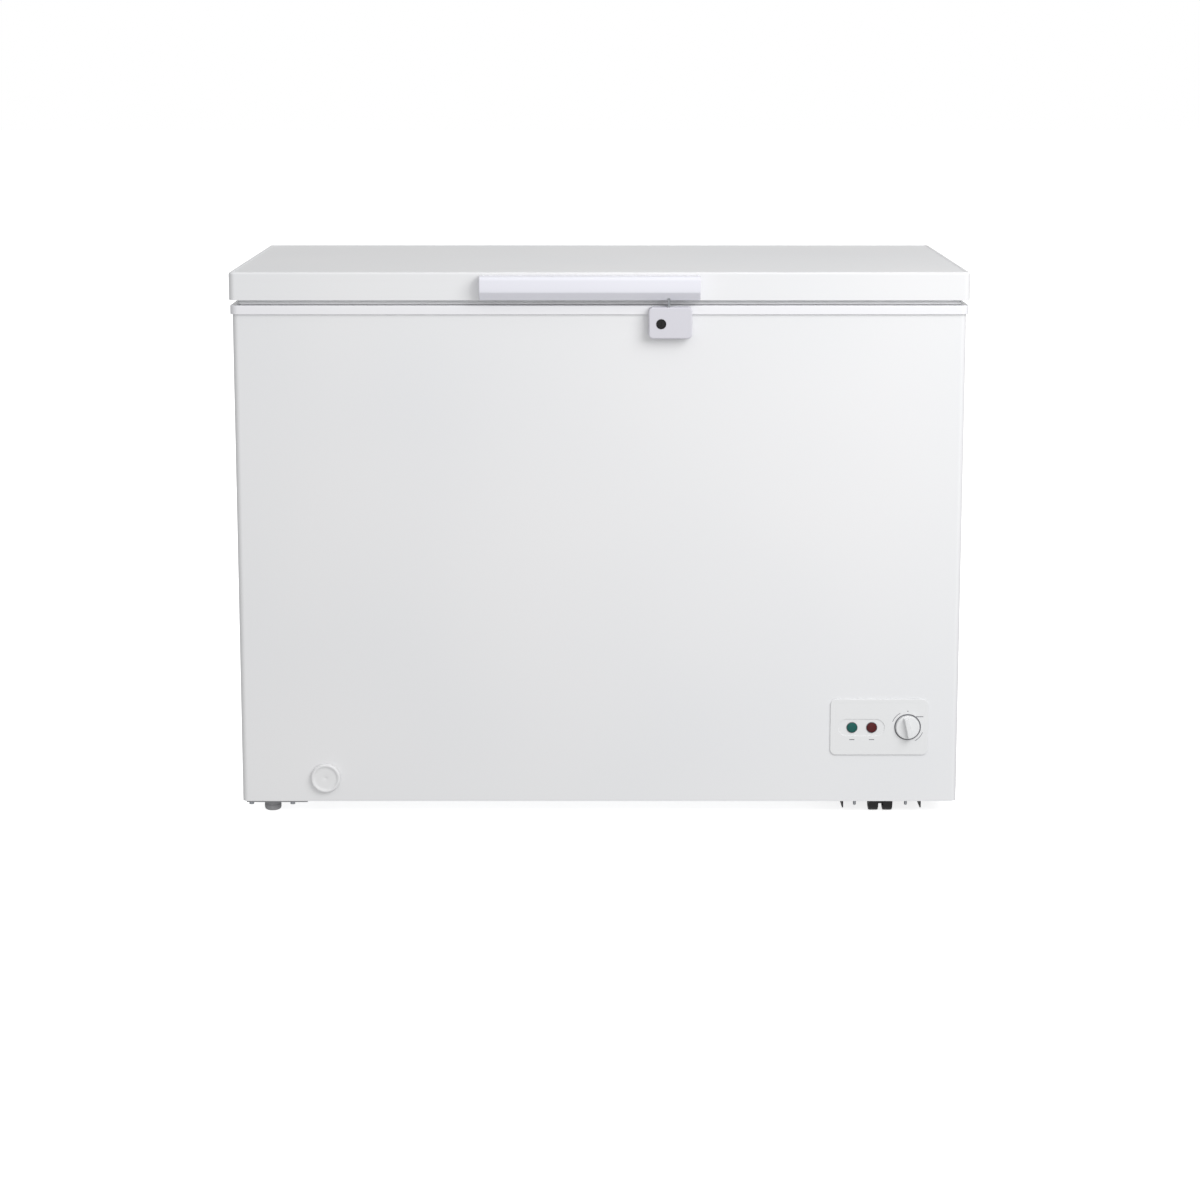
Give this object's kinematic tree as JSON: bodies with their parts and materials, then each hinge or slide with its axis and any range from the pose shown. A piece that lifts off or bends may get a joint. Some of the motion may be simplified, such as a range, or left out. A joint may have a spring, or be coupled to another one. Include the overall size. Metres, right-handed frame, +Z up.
{
  "type": "chest freezer",
  "caption": "Chest freezer with a rear-hinged lid, front grip and key lock, control panel with thermostat knob, drain, casters and levelling feet.",
  "frame": {"origin": "on the floor, under the middle of the whole object's box", "axes": "+X to the right seen from the front, -Y out of the front, +Z up"},
  "size_m": [1.119, 0.589, 0.845],
  "materials": {
    "white_steel": "satin",
    "grey_steel": "satin",
    "black_steel": "satin",
    "zinc_plate": "satin",
    "spring_steel": "satin",
    "copper": "satin",
    "white_plastic": "gloss",
    "grey_plastic": "satin",
    "black_plastic": "satin",
    "tub_plastic": "satin",
    "white_wire": "gloss",
    "gasket_grey": "matte",
    "rubber": "matte",
    "foam": "matte",
    "green_lens": "gloss",
    "red_lens": "gloss"
  },
  "bodies": {
    "cabinet": {"cabinet_wrap": "white_steel", "rear_panel": "white_steel", "rear_cover": "grey_steel", "left_rail": "grey_steel", "hinge_base_left": "grey_steel", "hinge_base_right": "grey_steel", "right_rail": "black_steel", "compressor": "black_steel", "base_plate": "zinc_plate", "step_plate": "zinc_plate", "compressor_bracket": "zinc_plate", "thermostat": "zinc_plate", "hinge_pin_left": "zinc_plate", "hinge_pin_right": "zinc_plate", "caster_plate_front": "zinc_plate", "caster_plate_rear": "zinc_plate", "hinge_spring_left": "spring_steel", "hinge_spring_right": "spring_steel", "condenser_coil": "copper", "evaporator_coil": "copper", "suction_line": "copper", "discharge_line": "copper", "filter_drier": "copper", "top_frame": "white_plastic", "control_panel": "white_plastic", "side_grille": "grey_plastic", "drain_pipe": "grey_plastic", "control_box": "grey_plastic", "lock_body": "grey_plastic", "cable_gland": "black_plastic", "starter_relay": "black_plastic", "inner_liner": "tub_plastic", "compressor_mount_1": "rubber", "compressor_mount_2": "rubber", "compressor_mount_3": "rubber", "compressor_mount_4": "rubber", "cabinet_foam": "foam", "power_lamp": "green_lens", "alarm_lamp": "red_lens"},
    "lid": {"lid_skin": "white_steel", "lid_foam": "foam", "lid_liner": "tub_plastic", "lid_gasket": "gasket_grey", "lid_handle": "white_plastic", "lock_strike": "zinc_plate", "hinge_arm_left": "grey_steel", "hinge_arm_right": "grey_steel"},
    "knob": {"thermostat_knob": "white_plastic"},
    "lock_barrel": {"lock_cylinder": "black_plastic", "lock_cam": "zinc_plate"},
    "drain_stopper": {"drain_cap": "white_plastic"},
    "tub_plug": {"drain_plug": "rubber"},
    "wire_basket": {"basket": "white_wire"},
    "front_foot": {"foot_front": "grey_plastic"},
    "rear_foot": {"foot_rear": "grey_plastic"},
    "front_caster": {"caster_fork_front": "black_plastic"},
    "front_wheels": {"caster_wheels_front": "black_plastic"},
    "rear_caster": {"caster_fork_rear": "black_plastic"},
    "rear_wheels": {"caster_wheels_rear": "black_plastic"}
  },
  "joints": [
    {"name": "lid_hinge", "type": "hinge", "parent": "cabinet", "child": "lid", "pos_m": [0, 0.282, 0.7987], "axis": [-1, 0, 0], "range_deg": [0, 80]},
    {"name": "lock_turn", "type": "hinge", "parent": "cabinet", "child": "lock_barrel", "pos_m": [0.093, -0.2796, 0.768], "axis": [0, 1, 0], "range_deg": [0, 90]},
    {"name": "knob_turn", "type": "hinge", "parent": "cabinet", "child": "knob", "pos_m": [0.477, -0.2704, 0.1405], "axis": [0, 1, 0], "range_deg": [-30, 240]},
    {"name": "drain_stopper_pull", "type": "slide", "parent": "cabinet", "child": "drain_stopper", "axis": [0, -1, 0], "range_m": [0, 0.03]},
    {"name": "tub_plug_lift", "type": "slide", "parent": "cabinet", "child": "tub_plug", "axis": [0, 0, 1], "range_m": [0, 0.03]},
    {"name": "basket_slide", "type": "slide", "parent": "cabinet", "child": "wire_basket", "axis": [-1, 0, 0], "range_m": [-0.015, 0.7]},
    {"name": "front_foot_turn", "type": "hinge", "parent": "cabinet", "child": "front_foot", "pos_m": [-0.5115, -0.236, 0], "axis": [0, 0, 1], "continuous": true},
    {"name": "rear_foot_turn", "type": "hinge", "parent": "cabinet", "child": "rear_foot", "pos_m": [-0.5115, 0.236, 0], "axis": [0, 0, 1], "continuous": true},
    {"name": "front_caster_swivel", "type": "hinge", "parent": "cabinet", "child": "front_caster", "pos_m": [0.439, -0.231, 0], "axis": [0, 0, 1], "continuous": true},
    {"name": "front_wheels_roll", "type": "hinge", "parent": "front_caster", "child": "front_wheels", "pos_m": [0.439, -0.239, 0.0165], "axis": [1, 0, 0], "continuous": true},
    {"name": "rear_caster_swivel", "type": "hinge", "parent": "cabinet", "child": "rear_caster", "pos_m": [0.439, 0.231, 0], "axis": [0, 0, 1], "continuous": true},
    {"name": "rear_wheels_roll", "type": "hinge", "parent": "rear_caster", "child": "rear_wheels", "pos_m": [0.439, 0.223, 0.0165], "axis": [1, 0, 0], "continuous": true}
  ]
}
